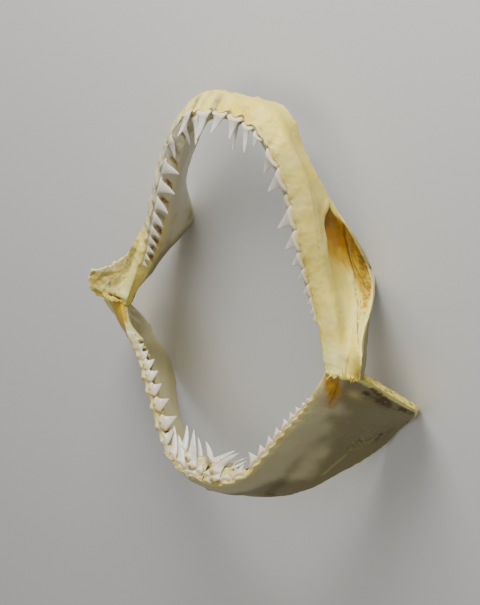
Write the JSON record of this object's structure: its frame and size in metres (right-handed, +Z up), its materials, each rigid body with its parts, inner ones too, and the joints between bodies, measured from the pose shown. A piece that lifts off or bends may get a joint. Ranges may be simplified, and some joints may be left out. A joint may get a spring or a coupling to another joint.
{
  "type": "dried shortfin mako shark jaw",
  "caption": "Cleaned and dried shark jaw, gaping wide, with slender pointed teeth along both gum lines, lying on its back.",
  "frame": {"origin": "centre of the jaw's footprint, at the level of the floor it lies on", "axes": "+X across the jaw towards the shark's right, +Y from the upper jaw's tip towards the lower jaw's tip, +Z up"},
  "size_m": [0.406, 0.4087, 0.1261],
  "materials": {
    "cartilage": "satin",
    "enamel": "semi-gloss"
  },
  "bodies": {
    "root": {"upper_jaw_left": "cartilage", "upper_jaw_right": "cartilage", "lower_jaw_left": "cartilage", "lower_jaw_right": "cartilage"}
  },
  "joints": []
}
